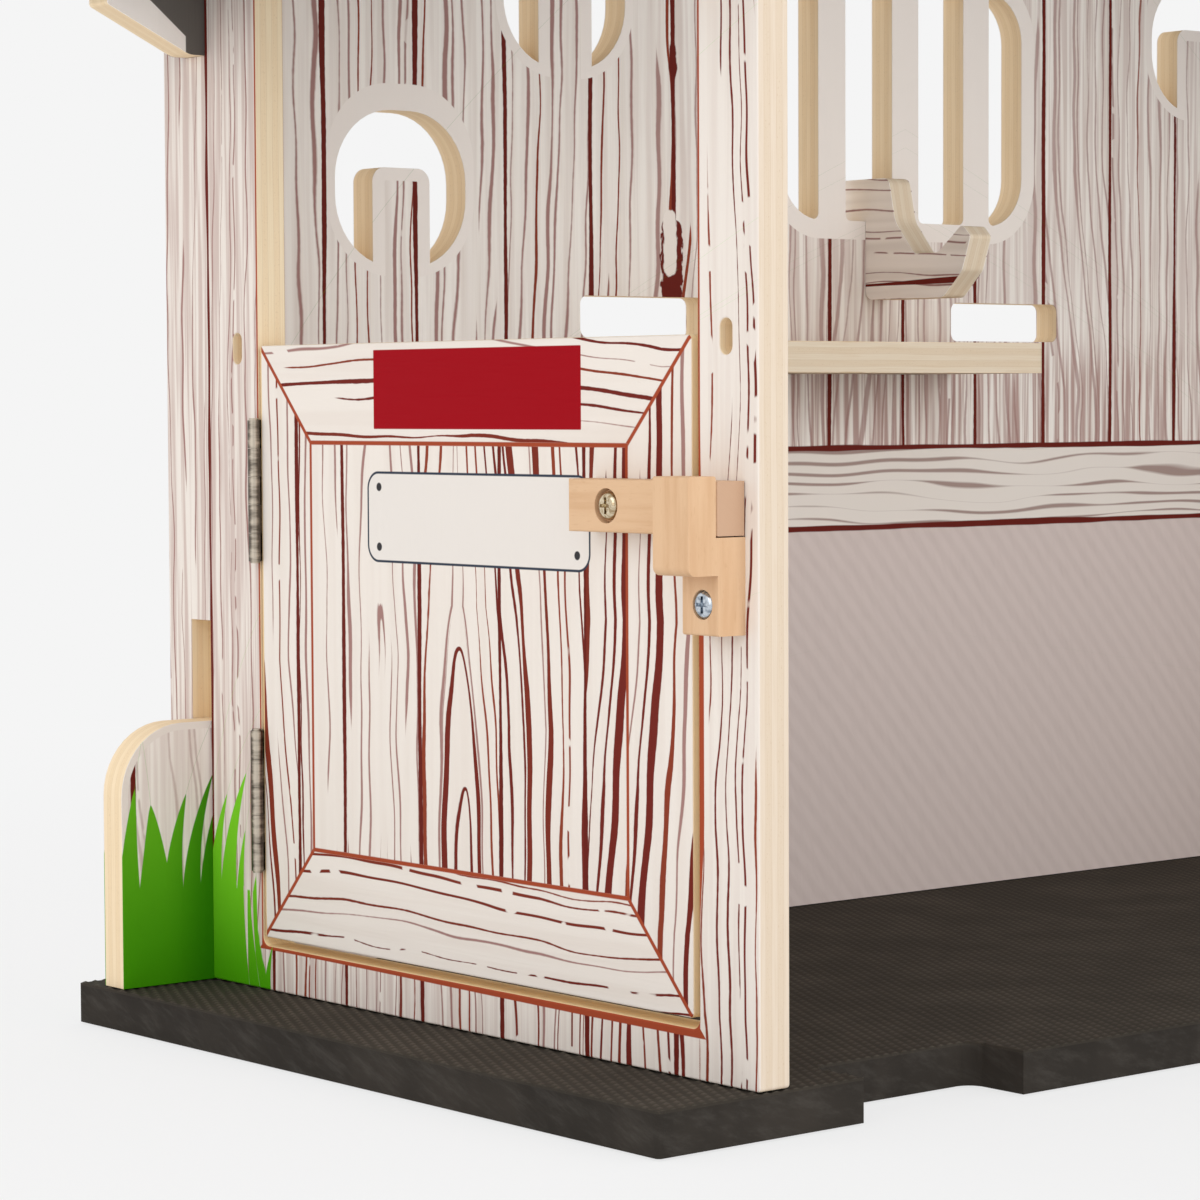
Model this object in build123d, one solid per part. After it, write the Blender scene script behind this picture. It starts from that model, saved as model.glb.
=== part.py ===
from build123d import *
import math
import os

# Toy barn of slot-together plywood on a rubber floor mat.
# Frame: +X along the back wall, +Y from the open front to the back wall, +Z up.
# X = 0 is the middle of the barn, Y = 0 the middle of the end walls' depth,
# Z = 0 the underside of the floor mat. All sizes are in millimetres.

# ---------------------------------------------------------------- sheet and fits
board = 9.0                     # plywood sheet, all walls, doors, roof boards
fit_gap = 0.1                   # clearance all round a board in its slot or mortise
edge_round = 0.5                # softened arris on doors and end walls
cut_over = 1.0                  # how far a cut runs on past the surface that it opens

# ---------------------------------------------------------------- whole barn
barn_length = 512.0             # outer face to outer face of the two end walls
front_post = 20.2               # end wall in front of its doorway
doorway_width = 172.0
rear_post = 23.0                # end wall from its doorway to the back wall's inner face
rear_strip = 10.8               # end wall that runs on behind the back wall
wall_depth = front_post + doorway_width + rear_post + board + rear_strip
wall_height = 291.0             # end walls, above the mat
wall_corner = 1.0
roof_pitch = 40.0               # degrees
roof_clear = 1.0                # roof's underside over the top of the end wall's outer face
roof_line = wall_height + roof_clear
roof_eave = 38.0                # eave edge, out from the end walls
roof_verge = 12.0               # roof beyond the end walls at front and back
roof_tab_width = 34.0           # gable tabs that stand through the roof boards
roof_tab_low = 78.0             # first tab from the end wall's outer face, level distance
roof_tab_high = 196.0           # second tab

# ---------------------------------------------------------------- floor mat
mat_thickness = 10.7
mat_overhang = 29.5             # beyond each end wall
mat_corner = 1.2
recess_start = 31.5             # front edge recess, from the end wall's outer face
recess_end = 83.3
recess_depth = 17.5
recess_corner = 4.5

# ---------------------------------------------------------------- feet and eave ends
foot_reach = 28.0               # back wall foot, out from the end wall
foot_height = 68.5
foot_corner = 18.5
wall_slot_height = 95.0         # slot in the end wall over the foot
eave_end_drop = 48.0            # its underside, below the end wall's top
eave_end_low = wall_height - eave_end_drop
eave_end_rise = 11.6            # how far that underside climbs to its tip
eave_end_reach = 29.5
eave_end_nose = 4.5             # flat part next to the wall
eave_end_round = 6.0
eave_end_corner = 1.0

# ---------------------------------------------------------------- doorway and door
doorway_lintel = 19.0           # end wall over the doorway
doorway_top = wall_height - doorway_lintel
doorway_top_corner = 12.0
sill_height = 11.4
sill_corner = 2.5
door_height = 153.2
door_gap_sill = 2.3
door_gap_latch = 2.1
door_gap_hinge = 1.0
door_corner = 1.2
peg_slot_width = 4.1            # narrow slot in each post, over the half door
peg_slot_height = 8.0
peg_slot_corner = 2.0
peg_slot_inset = 9.4            # its centre, from the doorway's edge
peg_slot_level = 166.3

# ---------------------------------------------------------------- hinge
hinge_height = 36.4
hinge_lower = 49.3              # middle of the lower hinge, above the mat
hinge_upper = 129.6             # middle of the upper hinge
leaf_thickness = 0.8
leaf_width = 7.6                # into the gap, from the outer face
leaf_spacing = 0.2              # between the two closed leaves
knuckle_diameter = 3.2
knuckle_count = 5
knuckle_gap = 0.12
knuckle_stand_off = 1.7         # pin axis in front of the outer face
knuckle_clear = 0.12            # round the other leaf's knuckle
knuckle_wall = 0.15             # knuckle's wall behind the pin, where the plate joins it
pin_diameter = 1.5
pin_fit = 0.05
pin_head_diameter = 2.4
pin_head_height = 0.5
hinge_screw_spread = 22.0       # between a leaf's two screws
hinge_screw_inset = 4.4         # from the outer face
hinge_screw_diameter = 1.6
hinge_screw_head = 3.0
hinge_screw_length = 8.0
hinge_screw_tip_gap = 0.5       # hole that runs on past the screw's tip
screw_fit = 0.05
pocket_clear = 0.1

# ---------------------------------------------------------------- latch
latch_thickness = 8.0
latch_lift = 0.3                # running gap behind, before and below the bar
latch_width = 12.0
latch_bottom = 122.6            # underside of the bar, above the mat
latch_end = 4.4                 # bar and keeper end, from the wall's front end
latch_length = 51.2
latch_pivot = 37.7              # pivot screw from that end
keeper_width = 11.8
keeper_bottom = 100.7
keeper_step = 114.0             # underside of the raised lip
keeper_top = 135.7
keeper_round = 2.0
keeper_corner = 0.6
keeper_screw_level = 107.5
keeper_screw_inset = 5.2        # from the keeper's front end
wood_screw_head = 6.4
wood_screw_head_height = 2.4
wood_screw_head_round = 1.32
wood_screw_recess = 8.0
wood_screw_recess_depth = 2.2
wood_screw_shank = 3.2
wood_screw_length = 15.0
wood_screw_cross = 0.8          # width of the driver cross
wood_screw_cross_reach = 1.9    # its arms, from the middle
wood_screw_cross_depth = 1.2

# ---------------------------------------------------------------- back wall cut-outs
# distances run from the left end wall's outer face, levels from the mat's top
window_level = 206.5
window_width = 102.4
window_height = 72.5
window_corner = 15.0
bar_pitch = 30.8
bar_width = 11.1
bar_corner = 2.0
shoe_width = 44.4
shoe_height = 42.5
shoe_corner = 19.0
shoe_tongue_width = 19.3
shoe_tongue_height = 26.9
shoe_tongue_corner = 4.0
shoe_low = (63.7, 189.2)        # centre from the end wall, bottom level
shoe_high = (121.8, 246.2)
loft_slot_width = 47.7
loft_slot_height = 11.9
loft_slot_corner = 2.5
loft_slot_level = 170.5
loft_slot_left = 150.6          # centres
loft_slot_right = 299.6

# ---------------------------------------------------------------- shelf and bridle hook
shelf_start = 128.0
shelf_end = 276.0
shelf_depth = 40.0
shelf_level = 160.2
shelf_corner = 3.0
shelf_tab_width = 24.0
shelf_tab_left = 198.0          # centres
shelf_tab_right = 252.0
hook_position = 239.0           # left face of the hook
hook_rear_lip = 5.0
hook_rear_drop = 22.0
hook_saddle = 12.7              # top of the hook, above the window's sill
hook_drop = 23.8                # underside, below that sill
hook_arm = 10.0                 # thickness over the sill
hook_flat = 33.0                # end of the level underside, out from the wall
hook_knee_out = 41.0
hook_knee_up = 7.8              # levels run from the underside
hook_reach = 44.5
hook_reach_up = 17.8
hook_tip_up = 21.3
hook_seat_outer = 31.0
hook_seat_inner = 21.0
hook_seat_up = 13.3
hook_neck_out = 12.8
hook_neck_up = 23.3
hook_corner = 1.5
hook_bend = 3.0
hook_neck_bend = 8.0

# ---------------------------------------------------------------- front gable and ridge
gable_inner_drop = 25.0         # its lowest edge between the walls, below their tops
gable_inner_low = wall_height - gable_inner_drop
gable_inner_shoulder = 42.0     # level part next to each end wall
gable_inner_bend = 20.0
gable_band = 74.0               # upright depth of the sloping part
gable_peak_bend = 12.0
ridge_leg = 26.0
ridge_thickness = 3.0
ridge_round = 1.5
ridge_edge_round = 0.8

# ---------------------------------------------------------------- derived places
x_left = -barn_length / 2
y_front = -wall_depth / 2
z_mat = mat_thickness
slope = math.tan(math.radians(roof_pitch))
y_back_rear = wall_depth / 2 - rear_strip
y_back_face = y_back_rear - board
y_gable_face = y_front + rear_strip
y_gable_rear = y_gable_face + board
y_doorway_front = y_front + front_post
y_doorway_rear = y_doorway_front + doorway_width
door_width = doorway_width - door_gap_latch - door_gap_hinge
y_door_front = y_doorway_front + door_gap_latch
y_door_rear = y_door_front + door_width
z_door = z_mat + sill_height + door_gap_sill
y_pin = y_door_rear + door_gap_hinge / 2
x_pin = x_left - knuckle_stand_off
y_latch_end = y_front + latch_end
y_latch_pivot = y_latch_end + latch_pivot
z_latch = z_mat + latch_bottom
z_latch_pivot = z_latch + latch_width / 2


def roof_under(distance):
    """Level of the roof's underside at a distance in from the end wall's outer face."""
    return z_mat + roof_line + slope * distance


def outline(points):
    """Closed face through (u, v, radius) corners, each corner rounded by its radius."""
    count = len(points)
    starts = []
    ends = []
    middles = []
    for i in range(count):
        p = Vector(points[i][0], points[i][1])
        a = Vector(points[i - 1][0], points[i - 1][1])
        b = Vector(points[(i + 1) % count][0], points[(i + 1) % count][1])
        radius = points[i][2]
        to_a = (a - p).normalized()
        to_b = (b - p).normalized()
        if radius <= 0:
            starts.append(p)
            ends.append(p)
            middles.append(None)
            continue
        half = math.acos(max(-1.0, min(1.0, to_a.dot(to_b)))) / 2
        reach = radius / math.tan(half)
        centre = p + (to_a + to_b).normalized() * (radius / math.sin(half))
        starts.append(p + to_a * reach)
        ends.append(p + to_b * reach)
        middles.append(centre + (p - centre).normalized() * radius)
    edges = []
    for i in range(count):
        if middles[i] is not None:
            edges.append(ThreePointArc(starts[i], middles[i], ends[i]))
        following = starts[(i + 1) % count]
        if (following - ends[i]).length > 1e-6:
            edges.append(Line(ends[i], following))
    return make_face(edges)


def box(x0, x1, y0, y1, z0, z1):
    """Box between the given limits."""
    block = Box(x1 - x0, y1 - y0, z1 - z0, align=(Align.MIN, Align.MIN, Align.MIN))
    return Pos(x0, y0, z0) * block


def upright_yz(face, x0, thickness):
    """Board whose outline is drawn in Y and Z, from x0 towards +X."""
    return extrude(Plane.YZ.offset(x0) * face, amount=thickness)


def upright_xz(face, y_rear, thickness):
    """Board whose outline is drawn in X and Z, from y_rear towards -Y."""
    return extrude(Plane.XZ.offset(-y_rear) * face, amount=thickness)


def rod_x(x0, x1, y, z, diameter):
    """Round rod along X."""
    rod = Cylinder(diameter / 2, abs(x1 - x0))
    return Pos((x0 + x1) / 2, y, z) * Rot(0, 90, 0) * rod


def rod_y(x, y0, y1, z, diameter):
    """Round rod along Y."""
    rod = Cylinder(diameter / 2, abs(y1 - y0))
    return Pos(x, (y0 + y1) / 2, z) * Rot(90, 0, 0) * rod


def rod_z(x, y, z0, z1, diameter):
    """Round rod along Z."""
    rod = Cylinder(diameter / 2, abs(z1 - z0))
    return Pos(x, y, (z0 + z1) / 2) * rod


def mirrored(shape):
    """The same piece on the right-hand end of the barn."""
    return mirror(shape, about=Plane.YZ)


def soften(board_part, axis):
    """Round the arrises of both broad faces of a board."""
    broad = board_part.faces().filter_by(axis).sort_by(SortBy.AREA)[-2:]
    edges = broad[0].edges() + broad[1].edges()
    return fillet(edges, edge_round)


# ---------------------------------------------------------------- floor mat
def make_floor_mat():
    """Rubber mat with a recess for the fingers in its front edge near each end."""
    half = barn_length / 2 + mat_overhang
    back = wall_depth / 2
    inner = y_front + recess_depth
    left_points = [
        (-half, back, mat_corner),
        (-half, y_front, mat_corner),
        (x_left + recess_start, y_front, 0),
        (x_left + recess_start, inner, recess_corner),
        (x_left + recess_end, inner, recess_corner),
        (x_left + recess_end, y_front, 0),
    ]
    right_points = [(-u, v, r) for u, v, r in reversed(left_points)]
    return extrude(outline(left_points + right_points), amount=mat_thickness)


# ---------------------------------------------------------------- back wall
def eave_end_points():
    """Left edge of a gable: round the eave end's nose and up to the roof."""
    nose = x_left - eave_end_nose
    tip = x_left - eave_end_reach
    return [
        (nose, z_mat + eave_end_low, eave_end_round),
        (tip, z_mat + eave_end_low + eave_end_rise, eave_end_corner),
        (tip, roof_under(-eave_end_reach) - fit_gap, 0),
    ]


def horseshoe(centre_x, bottom_z):
    """Horseshoe-shaped hole, open side down."""
    middle = bottom_z + shoe_height / 2
    shoe = Pos(centre_x, middle) * RectangleRounded(shoe_width, shoe_height, shoe_corner)
    half = shoe_tongue_width / 2
    top = bottom_z + shoe_tongue_height
    tongue = outline([
        (centre_x - half, bottom_z - cut_over, 0),
        (centre_x + half, bottom_z - cut_over, 0),
        (centre_x + half, top, shoe_tongue_corner),
        (centre_x - half, top, shoe_tongue_corner),
    ])
    return shoe - tongue


def barred_window():
    """Rounded window split by three upright bars."""
    middle = z_mat + window_level + window_height / 2
    opening = Pos(0, middle) * RectangleRounded(window_width, window_height, window_corner)
    for i in (-1, 0, 1):
        bar = Rectangle(bar_width, window_height + 2 * cut_over)
        opening -= Pos(i * bar_pitch, middle) * bar
    inner = bar_pitch + bar_width / 2 + fit_gap
    corners = [v for v in opening.vertices() if abs(v.X) < inner]
    return fillet(corners, bar_corner)


def roof_tab(distance):
    """Gable tab that stands square to the slope and ends flush with the roof board."""
    x = x_left + distance
    z = roof_under(distance) - fit_gap
    tab = Rectangle(roof_tab_width, board + fit_gap, align=(Align.CENTER, Align.MIN))
    return Pos(x, z) * Rot(0, 0, roof_pitch) * Pos(0, -fit_gap) * tab


def roof_tab_hole(distance, y0, y1):
    """Mortise through the left roof board for one gable tab."""
    x = x_left + distance
    z = roof_under(distance)
    width = roof_tab_width + 2 * fit_gap
    hole = Pos(x, z) * Rot(0, 0, roof_pitch) * Rectangle(width, 4 * board)
    return upright_xz(hole, y1 + fit_gap, y1 - y0 + 2 * fit_gap)


def make_back_wall():
    """Back wall: gable with feet and eave ends that pass through the end walls."""
    inner = x_left + board + fit_gap
    foot_tip = x_left - foot_reach
    foot_top = z_mat + foot_height
    left_points = [
        (foot_tip, z_mat, 0),
        (foot_tip, foot_top, foot_corner),
        (inner, foot_top, 0),
        (inner, z_mat + eave_end_low, 0),
    ] + eave_end_points()
    right_points = [(-u, v, r) for u, v, r in reversed(left_points)]
    ridge = [(0, roof_under(barn_length / 2) - fit_gap, 0)]
    face = outline(left_points + ridge + right_points)
    for distance in (roof_tab_low, roof_tab_high):
        tab = roof_tab(distance)
        face += tab
        face += mirror(tab, about=Plane.YZ)
    face -= barred_window()
    for centre, level in (shoe_low, shoe_high):
        shoe = horseshoe(x_left + centre, z_mat + level)
        face -= shoe
        face -= mirror(shoe, about=Plane.YZ)
    for centre in (loft_slot_left, loft_slot_right):
        middle = z_mat + loft_slot_level + loft_slot_height / 2
        slot = RectangleRounded(loft_slot_width, loft_slot_height, loft_slot_corner)
        face -= Pos(x_left + centre, middle) * slot
    for centre in (shelf_tab_left, shelf_tab_right):
        middle = z_mat + shelf_level + board / 2
        mortise = Rectangle(shelf_tab_width + 2 * fit_gap, board + 2 * fit_gap)
        face -= Pos(x_left + centre, middle) * mortise
    return upright_xz(face, y_back_rear, board)


# ---------------------------------------------------------------- end walls
def hinge_pocket(middle, y0, y1):
    """Shallow pocket that lets a hinge leaf into an edge."""
    half = hinge_height / 2 + pocket_clear
    x1 = x_left + leaf_width + pocket_clear
    return box(x_left - cut_over, x1, y0, y1, z_mat + middle - half, z_mat + middle + half)


def make_left_wall():
    """End wall with the doorway, slotted over the back wall and the front gable."""
    top = z_mat + wall_height
    face = outline([
        (y_front, z_mat, wall_corner),
        (wall_depth / 2, z_mat, wall_corner),
        (wall_depth / 2, top, 0),
        (y_front, top, 0),
    ])
    face -= outline([
        (y_doorway_front, z_mat + sill_height, sill_corner),
        (y_doorway_rear, z_mat + sill_height, sill_corner),
        (y_doorway_rear, z_mat + doorway_top, doorway_top_corner),
        (y_doorway_front, z_mat + doorway_top, doorway_top_corner),
    ])
    for y in (y_doorway_front - peg_slot_inset, y_doorway_rear + peg_slot_inset):
        peg = RectangleRounded(peg_slot_width, peg_slot_height, peg_slot_corner)
        face -= Pos(y, z_mat + peg_slot_level) * peg
    wall = upright_yz(face, x_left, board)
    wall = soften(wall, Axis.X)
    x0 = x_left - cut_over
    x1 = x_left + board + cut_over
    back0 = y_back_face - fit_gap
    back1 = y_back_rear + fit_gap
    wall -= box(x0, x1, back0, back1, z_mat - cut_over, z_mat + wall_slot_height)
    wall -= box(x0, x1, back0, back1, z_mat + eave_end_low - fit_gap, top + cut_over)
    gable0 = y_gable_face - fit_gap
    gable1 = y_gable_rear + fit_gap
    wall -= box(x0, x1, gable0, gable1, z_mat + eave_end_low - fit_gap, top + cut_over)
    leaf_far = y_pin + leaf_spacing / 2 + leaf_thickness
    for middle in (hinge_lower, hinge_upper):
        wall -= hinge_pocket(middle, y_doorway_rear - cut_over, leaf_far)
        for y, z in hinge_screw_places(middle):
            hole = hinge_screw_diameter + 2 * screw_fit
            tip = leaf_far + hinge_screw_length
            wall -= rod_y(x_left + hinge_screw_inset, leaf_far - cut_over, tip, z, hole)
    y_screw = y_latch_end + keeper_screw_inset
    wall -= wood_screw_hole(x_left + board + cut_over, y_screw, z_mat + keeper_screw_level)
    return wall


def wood_screw_hole(x1, y, z):
    """Hole for a wood screw's shank, from outside the wall to x1."""
    return rod_x(x_left - latch_thickness, x1, y, z, wood_screw_shank + 2 * screw_fit)


# ---------------------------------------------------------------- door
def make_left_door():
    """Half door, flush with the end wall's outer face when shut."""
    face = outline([
        (y_door_front, z_door, door_corner),
        (y_door_rear, z_door, door_corner),
        (y_door_rear, z_door + door_height, door_corner),
        (y_door_front, z_door + door_height, door_corner),
    ])
    door = soften(upright_yz(face, x_left, board), Axis.X)
    leaf_far = y_pin - leaf_spacing / 2 - leaf_thickness
    for middle in (hinge_lower, hinge_upper):
        door -= hinge_pocket(middle, leaf_far, y_door_rear + cut_over)
        for y, z in hinge_screw_places(middle):
            hole = hinge_screw_diameter + 2 * screw_fit
            tip = leaf_far - hinge_screw_length
            door -= rod_y(x_left + hinge_screw_inset, tip, leaf_far + cut_over, z, hole)
    door -= wood_screw_hole(x_left + board + cut_over, y_latch_pivot, z_latch_pivot)
    return door


# ---------------------------------------------------------------- hinge pieces
def hinge_screw_places(middle):
    """Places of a leaf's two screws on the hinge line."""
    half = hinge_screw_spread / 2
    return [(y_pin, z_mat + middle - half), (y_pin, z_mat + middle + half)]


def knuckle_spans(middle, own):
    """Levels of the leaf's own knuckles (own=0 for the wall leaf, 1 for the door leaf)."""
    pitch = hinge_height / knuckle_count
    bottom = z_mat + middle - hinge_height / 2
    spans = []
    for i in range(knuckle_count):
        if i % 2 == own:
            low = bottom + i * pitch + (knuckle_gap / 2 if i > 0 else 0)
            high = bottom + (i + 1) * pitch - (knuckle_gap / 2 if i < knuckle_count - 1 else 0)
            spans.append((low, high))
    return spans


def hinge_leaf(middle, own):
    """One leaf: plate in the gap beside the door and its share of the knuckles."""
    side = 1 if own == 0 else -1
    near = y_pin + side * leaf_spacing / 2
    far = near + side * leaf_thickness
    y0 = min(near, far)
    y1 = max(near, far)
    z0 = z_mat + middle - hinge_height / 2
    z1 = z0 + hinge_height
    clear = x_pin + knuckle_diameter / 2 + knuckle_clear
    leaf = box(clear, x_left + leaf_width, y0, y1, z0, z1)
    bore = pin_diameter / 2 + pin_fit
    for low, high in knuckle_spans(middle, own):
        leaf += rod_z(x_pin, y_pin, low, high, knuckle_diameter)
        leaf += box(x_pin + bore + knuckle_wall, clear, y0, y1, low, high)
    leaf -= rod_z(x_pin, y_pin, z0 - cut_over, z1 + cut_over, 2 * bore)
    for y, z in hinge_screw_places(middle):
        x = x_left + hinge_screw_inset
        leaf -= rod_y(x, y0 - cut_over, y1 + cut_over, z, hinge_screw_diameter + 2 * screw_fit)
        leaf -= screw_cone(x, near, z, side, screw_fit)
    return leaf


def screw_cone(x, near, z, side, clearance):
    """Countersunk head let into a leaf from its face towards the wood."""
    top = hinge_screw_head / 2 + clearance
    bottom = hinge_screw_diameter / 2 + clearance
    depth = leaf_thickness
    cone = Cone(bottom, top, depth)
    turned = Rot(90, 0, 0) * cone if side > 0 else Rot(-90, 0, 0) * cone
    return Pos(x, near + side * depth / 2, z) * turned


def hinge_screws(own):
    """The four small countersunk screws that hold both hinges' leaves of one side."""
    side = 1 if own == 0 else -1
    near = y_pin + side * leaf_spacing / 2
    screws = []
    for middle in (hinge_lower, hinge_upper):
        for y, z in hinge_screw_places(middle):
            x = x_left + hinge_screw_inset
            tip = near + side * (leaf_thickness + hinge_screw_length - hinge_screw_tip_gap)
            screw = screw_cone(x, near, z, side, 0)
            screw += rod_y(x, near + side * leaf_thickness / 2, tip, z, hinge_screw_diameter)
            screws.append(screw)
    return Compound(children=screws)


def hinge_pin(middle):
    """Pin with a low head at each end."""
    z0 = z_mat + middle - hinge_height / 2
    z1 = z0 + hinge_height
    head = pin_head_height
    pin = rod_z(x_pin, y_pin, z0 - head, z1 + head, pin_diameter)
    pin += rod_z(x_pin, y_pin, z0 - head, z0 - pin_fit, pin_head_diameter)
    pin += rod_z(x_pin, y_pin, z1 + pin_fit, z1 + head, pin_head_diameter)
    return pin


# ---------------------------------------------------------------- latch pieces
def wood_screw(x_seat, y, z):
    """Pan head screw along +X with a driver cross; x_seat is the recess floor."""
    x0 = x_seat - wood_screw_head_height
    head = rod_x(x0, x_seat - screw_fit, y, z, wood_screw_head)
    rim = head.edges().filter_by(GeomType.CIRCLE).sort_by(Axis.X)[0]
    head = fillet(rim, wood_screw_head_round)
    arm = wood_screw_cross_reach
    half = wood_screw_cross / 2
    depth = x0 + wood_screw_cross_depth
    head -= box(x0 - cut_over, depth, y - arm, y + arm, z - half, z + half)
    head -= box(x0 - cut_over, depth, y - half, y + half, z - arm, z + arm)
    shank_start = x0 + wood_screw_head_height / 2
    return head + rod_x(shank_start, shank_start + wood_screw_length, y, z, wood_screw_shank)


def make_latch_bar():
    """Beech bar that swings on its pivot screw and drops into the keeper."""
    x1 = x_left - latch_lift
    x0 = x1 - latch_thickness
    y1 = y_latch_end + latch_length
    bar = box(x0, x1, y_latch_end, y1, z_latch, z_latch + latch_width)
    bar = fillet(bar.faces().sort_by(Axis.X)[0].edges(), edge_round)
    recess = x0 + wood_screw_recess_depth
    bar -= rod_x(x0 - cut_over, recess, y_latch_pivot, z_latch_pivot, wood_screw_recess)
    through = wood_screw_shank + 2 * screw_fit
    return bar - rod_x(x0 - cut_over, x1 + cut_over, y_latch_pivot, z_latch_pivot, through)


def make_latch_keeper():
    """Beech keeper on the post: a raised lip in front of the slot that the bar drops into."""
    slot_front = x_left - latch_thickness - 2 * latch_lift
    lip_front = slot_front - latch_thickness
    seat = x_left - latch_thickness
    floor = z_latch - latch_lift
    profile = outline([
        (x_left, z_mat + keeper_bottom, 0),
        (x_left, floor, 0),
        (slot_front, floor, 0),
        (slot_front, z_mat + keeper_top, keeper_corner),
        (lip_front, z_mat + keeper_top, keeper_corner),
        (lip_front, z_mat + keeper_step, keeper_round),
        (seat, z_mat + keeper_step, 0),
        (seat, z_mat + keeper_bottom, keeper_corner),
    ])
    keeper = upright_xz(profile, y_latch_end + keeper_width, keeper_width)
    y = y_latch_end + keeper_screw_inset
    z = z_mat + keeper_screw_level
    recess = seat + wood_screw_recess_depth
    keeper -= rod_x(seat - cut_over, recess, y, z, wood_screw_head + 2 * fit_gap)
    through = wood_screw_shank + 2 * screw_fit
    return keeper - rod_x(seat - cut_over, x_left + cut_over, y, z, through)


def make_latch_pivot_screw():
    """Pivot screw of the latch bar, held in the door."""
    seat = x_left - latch_lift - latch_thickness + wood_screw_recess_depth
    return wood_screw(seat, y_latch_pivot, z_latch_pivot)


def make_keeper_screw():
    """Screw that holds the keeper on the post."""
    seat = x_left - latch_thickness + wood_screw_recess_depth
    y = y_latch_end + keeper_screw_inset
    return wood_screw(seat, y, z_mat + keeper_screw_level)


# ---------------------------------------------------------------- roof
def make_front_gable():
    """Open front's gable: an A-shaped board with the same eave ends as the back wall."""
    inner = x_left + board + fit_gap
    shoulder = inner + gable_inner_shoulder
    low = z_mat + gable_inner_low
    apex = roof_under(barn_length / 2) - gable_band
    apex_x = (apex - low) / slope
    left_points = [
        (-apex_x, low, 0),
        (inner, low, 0),
        (inner, z_mat + eave_end_low, 0),
    ] + eave_end_points()
    if apex_x > -shoulder:
        left_points[0] = (shoulder, low, gable_inner_bend)
    right_points = [(-u, v, r) for u, v, r in reversed(left_points)]
    ridge = [(0, roof_under(barn_length / 2) - fit_gap, 0)]
    arch = [(0, apex, gable_peak_bend)]
    face = outline(left_points + ridge + right_points + arch)
    for distance in (roof_tab_low, roof_tab_high):
        tab = roof_tab(distance)
        face += tab
        face += mirror(tab, about=Plane.YZ)
    return upright_xz(face, y_gable_rear, board)


def make_left_roof():
    """Left roof board, mitred at the ridge, with mortises for the gable tabs."""
    angle = math.radians(roof_pitch)
    x0 = x_left - roof_eave
    z0 = roof_under(-roof_eave)
    end = -fit_gap / 2
    z1 = roof_under(barn_length / 2 + end)
    face = outline([
        (x0, z0, 0),
        (end, z1, 0),
        (end, z1 + board / math.cos(angle), 0),
        (x0 - board * math.sin(angle), z0 + board * math.cos(angle), 0),
    ])
    length = wall_depth + 2 * roof_verge
    roof = upright_xz(face, wall_depth / 2 + roof_verge, length)
    for distance in (roof_tab_low, roof_tab_high):
        roof -= roof_tab_hole(distance, y_back_face, y_back_rear)
        roof -= roof_tab_hole(distance, y_gable_face, y_gable_rear)
    return roof


def make_ridge_cap():
    """Angled strip that covers the joint of the two roof boards."""
    angle = math.radians(roof_pitch)
    top = roof_under(barn_length / 2) + board / math.cos(angle) + fit_gap
    run = ridge_leg * math.cos(angle)
    drop = ridge_leg * math.sin(angle)
    nx = ridge_thickness * math.sin(angle)
    nz = ridge_thickness * math.cos(angle)
    face = outline([
        (0, top, 0),
        (run, top - drop, 0),
        (run + nx, top - drop + nz, ridge_edge_round),
        (0, top + ridge_thickness / math.cos(angle), ridge_round),
        (-run - nx, top - drop + nz, ridge_edge_round),
        (-run, top - drop, 0),
    ])
    return upright_xz(face, wall_depth / 2 + roof_verge, wall_depth + 2 * roof_verge)


# ---------------------------------------------------------------- shelf and bridle hook
def make_shelf():
    """Shelf on the back wall, its two tabs let through the wall."""
    x0 = x_left + shelf_start
    x1 = x_left + shelf_end
    y0 = y_back_face - shelf_depth
    face = outline([
        (x0, y_back_face, 0),
        (x0, y0, shelf_corner),
        (x1, y0, shelf_corner),
        (x1, y_back_face, 0),
    ])
    shelf = Pos(0, 0, z_mat + shelf_level) * extrude(face, amount=board)
    for centre in (shelf_tab_left, shelf_tab_right):
        half = shelf_tab_width / 2
        x = x_left + centre
        z = z_mat + shelf_level
        shelf += box(x - half, x + half, y_back_face - cut_over, y_back_rear, z, z + board)
    return shelf


def make_bridle_hook():
    """J-shaped hook hung through the window's second slot, over the sill."""
    sill = window_level + fit_gap
    top = window_level + hook_saddle
    foot = window_level - hook_drop
    behind = -board - fit_gap
    rear = behind - hook_rear_lip
    shape = [
        (hook_flat, foot, hook_bend),
        (hook_knee_out, foot + hook_knee_up, hook_bend),
        (hook_reach, foot + hook_reach_up, hook_corner),
        (hook_knee_out, foot + hook_tip_up, hook_corner),
        (hook_seat_outer, foot + hook_seat_up, hook_bend),
        (hook_seat_inner, foot + hook_seat_up, hook_bend),
        (hook_neck_out, foot + hook_neck_up, hook_neck_bend),
        (hook_arm, top, hook_bend),
        (rear, top, hook_corner),
        (rear, top - hook_rear_drop, hook_corner),
        (behind, top - hook_rear_drop, hook_corner),
        (behind, sill, 0),
        (fit_gap, sill, 0),
        (fit_gap, foot, hook_bend),
    ]
    points = [(y_back_face - q, z_mat + z, r) for q, z, r in shape]
    return upright_yz(outline(points), x_left + hook_position, board)


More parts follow.
